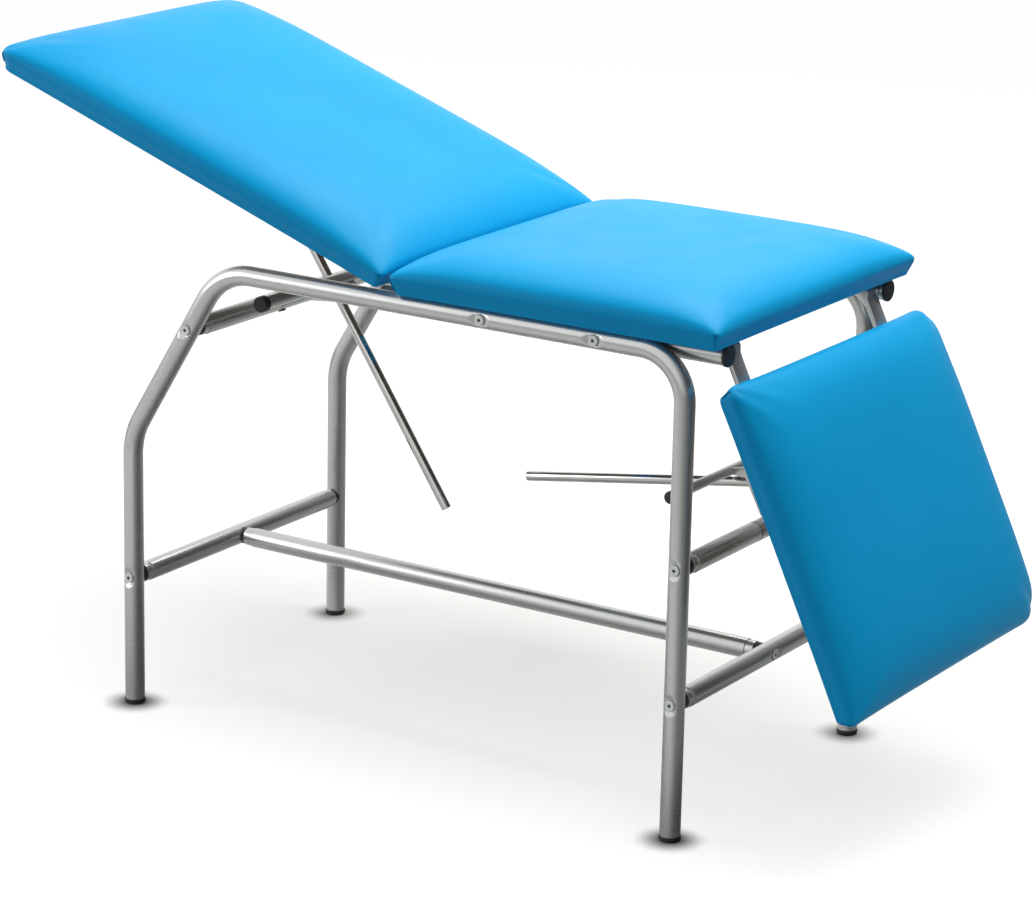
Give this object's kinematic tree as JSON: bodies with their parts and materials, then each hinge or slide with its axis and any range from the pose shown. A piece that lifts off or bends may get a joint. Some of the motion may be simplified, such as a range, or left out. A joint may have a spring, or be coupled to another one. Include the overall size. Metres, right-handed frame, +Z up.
{
  "type": "examination table",
  "caption": "Examination table with blue padded back, seat and leg sections on a silver tube frame; back and leg rest tilt on chrome support rods with release bars.",
  "frame": {"origin": "on the floor, under the middle of the table's bounding box", "axes": "+X along the table from the head end to the foot end, +Y across it, +Z up"},
  "size_m": [1.5907, 0.623, 1.0669],
  "materials": {
    "blue_vinyl": "satin",
    "plywood": "matte",
    "silver_paint": "satin",
    "zinc_steel": "satin",
    "chrome": "polished",
    "black_plastic": "satin"
  },
  "bodies": {
    "base": {"side_frame_near": "silver_paint", "seat_tube_near": "silver_paint", "seat_cap_near": "black_plastic", "foot_plug_head_near": "black_plastic", "foot_plug_foot_near": "black_plastic", "screw_head_low_near": "zinc_steel", "saddle_head_low_near": "black_plastic", "screw_head_upper_near": "zinc_steel", "saddle_head_upper_near": "black_plastic", "screw_foot_mid_near": "zinc_steel", "saddle_foot_mid_near": "black_plastic", "screw_foot_low_near": "zinc_steel", "saddle_foot_low_near": "black_plastic", "screw_rail_1_near": "zinc_steel", "screw_rail_2_near": "zinc_steel", "side_frame_far": "silver_paint", "seat_tube_far": "silver_paint", "seat_cap_far": "black_plastic", "foot_plug_head_far": "black_plastic", "foot_plug_foot_far": "black_plastic", "screw_head_low_far": "zinc_steel", "saddle_head_low_far": "black_plastic", "screw_head_upper_far": "zinc_steel", "saddle_head_upper_far": "black_plastic", "screw_foot_mid_far": "zinc_steel", "saddle_foot_mid_far": "black_plastic", "screw_foot_low_far": "zinc_steel", "saddle_foot_low_far": "black_plastic", "screw_rail_1_far": "zinc_steel", "screw_rail_2_far": "zinc_steel", "cross_low_head": "silver_paint", "bolt_stretcher_head": "zinc_steel", "saddle_stretcher_head": "black_plastic", "cross_low_foot": "silver_paint", "bolt_stretcher_foot": "zinc_steel", "saddle_stretcher_foot": "black_plastic", "stretcher": "silver_paint", "cross_upper_head": "silver_paint", "cross_mid_foot": "silver_paint", "seat_pad": "blue_vinyl", "seat_board": "plywood"},
    "back": {"back_frame": "silver_paint", "back_board": "plywood", "back_pad": "blue_vinyl"},
    "leg": {"leg_frame": "silver_paint", "leg_board": "plywood", "leg_pad": "blue_vinyl"},
    "head_rod_body": {"head_rod": "chrome"},
    "head_clamp_body": {"head_clamp": "silver_paint"},
    "head_bar_body": {"head_release_bar": "silver_paint", "head_bar_cap_near": "black_plastic", "head_bar_cap_far": "black_plastic"},
    "foot_rod_body": {"foot_rod": "chrome"},
    "foot_clamp_body": {"foot_clamp": "silver_paint"},
    "foot_bar_body": {"foot_release_bar": "silver_paint", "foot_bar_cap_near": "black_plastic", "foot_bar_cap_far": "black_plastic"}
  },
  "joints": [
    {"name": "back_hinge", "type": "hinge", "parent": "base", "child": "back", "pos_m": [-0.042, 0, 0.7731], "axis": [0, 1, 0], "range_deg": [-18.6, 24]},
    {"name": "leg_hinge", "type": "hinge", "parent": "base", "child": "leg", "pos_m": [0.5085, 0, 0.7503], "axis": [0, -1, 0], "range_deg": [-20, 64.3]},
    {"name": "head_rod_pivot", "type": "hinge", "parent": "back", "child": "head_rod_body", "pos_m": [-0.50056, 0, 0.89419], "axis": [0, 1, 0], "range_deg": [-4, 6]},
    {"name": "head_clamp_swivel", "type": "hinge", "parent": "base", "child": "head_clamp_body", "pos_m": [-0.42455, 0, 0.6483], "axis": [0, 1, 0], "range_deg": [-23, 36]},
    {"name": "head_bar_release", "type": "hinge", "parent": "head_clamp_body", "child": "head_bar_body", "pos_m": [-0.31544, 0, 0.66215], "axis": [0, 1, 0], "range_deg": [0, 12]},
    {"name": "foot_rod_pivot", "type": "hinge", "parent": "leg", "child": "foot_rod_body", "pos_m": [0.59969, 0, 0.51008], "axis": [0, -1, 0], "range_deg": [-38, 13]},
    {"name": "foot_clamp_swivel", "type": "hinge", "parent": "base", "child": "foot_clamp_body", "pos_m": [0.4755, 0, 0.4263], "axis": [0, -1, 0], "range_deg": [-10, 31]},
    {"name": "foot_bar_release", "type": "hinge", "parent": "foot_clamp_body", "child": "foot_bar_body", "pos_m": [0.43613, 0, 0.50294], "axis": [0, 1, 0], "range_deg": [0, 12]}
  ],
  "couplings": [
    {"joint": "head_rod_pivot", "follows": "back_hinge", "ratio": 0.18},
    {"joint": "head_clamp_swivel", "follows": "back_hinge", "ratio": 1.18},
    {"joint": "foot_rod_pivot", "follows": "leg_hinge", "ratio": -0.56},
    {"joint": "foot_clamp_swivel", "follows": "leg_hinge", "ratio": 0.44}
  ]
}
